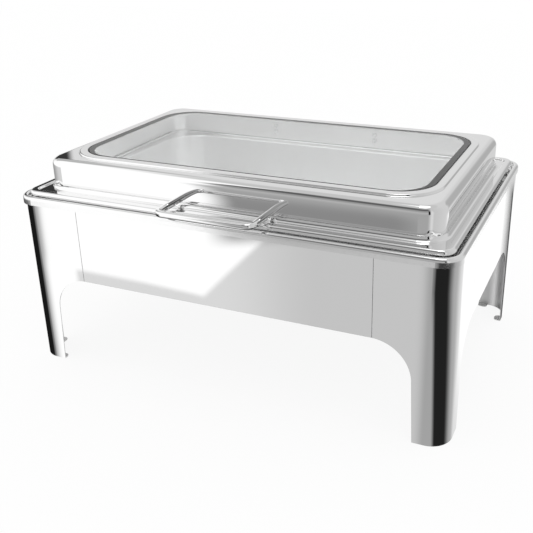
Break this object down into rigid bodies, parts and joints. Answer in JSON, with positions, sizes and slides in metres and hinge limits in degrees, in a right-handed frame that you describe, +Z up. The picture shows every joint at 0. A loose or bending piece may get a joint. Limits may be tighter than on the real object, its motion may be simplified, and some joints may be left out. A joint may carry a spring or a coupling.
{
  "type": "chafing dish",
  "caption": "Rectangular chafing dish: hinged lid with a glass window, lift-out water pan and food pan, and an open stand with arched corner legs.",
  "frame": {"origin": "on the floor under the middle of the dish's overall box", "axes": "+X to the right along the long side seen from the handle side, +Y to the rear where the lid's hinges are, +Z up"},
  "size_m": [0.603, 0.4488, 0.2916],
  "materials": {
    "polished_steel": "mirror-polished stainless steel",
    "pan_steel": "bright satin stainless steel",
    "window_glass": "clear tempered glass",
    "gasket_rubber": "matt black silicone",
    "fastener_steel": "plain stainless steel",
    "hinge_steel": "satin stainless steel",
    "damper_plastic": "moulded black plastic"
  },
  "bodies": {
    "stand": {"leg_front_left": "polished_steel", "leg_front_right": "polished_steel", "leg_rear_left": "polished_steel", "leg_rear_right": "polished_steel", "front_panel": "polished_steel", "rear_panel": "polished_steel", "left_panel": "polished_steel", "right_panel": "polished_steel", "seam_screws": "fastener_steel", "seam_nuts": "fastener_steel"},
    "water_pan": {"water_pan": "polished_steel", "hinge_bracket_left": "hinge_steel", "hinge_bracket_right": "hinge_steel", "bracket_screws": "fastener_steel", "bracket_spacers": "fastener_steel", "bracket_nuts": "fastener_steel", "hinge_damper_left": "damper_plastic", "hinge_damper_right": "damper_plastic", "hinge_pins": "fastener_steel", "pin_clips": "fastener_steel"},
    "food_pan": {"food_pan": "pan_steel"},
    "lid": {"lid_shell": "polished_steel", "window_glass": "window_glass", "window_gasket": "gasket_rubber", "lid_handle": "polished_steel", "handle_screws": "fastener_steel", "handle_washers": "fastener_steel", "hinge_arm_left": "hinge_steel", "hinge_arm_right": "hinge_steel", "arm_screws": "fastener_steel"}
  },
  "joints": [
    {"name": "lid_hinge", "type": "hinge", "parent": "water_pan", "child": "lid", "pos_m": [0, 0.2169, 0.2505], "axis": [-1, 0, 0], "range_deg": [0, 90]},
    {"name": "water_pan_lift", "type": "slide", "parent": "stand", "child": "water_pan", "axis": [0, 0, 1], "range_m": [0, 0.12]},
    {"name": "food_pan_lift", "type": "slide", "parent": "water_pan", "child": "food_pan", "axis": [0, 0, 1], "range_m": [0, 0.035]}
  ]
}
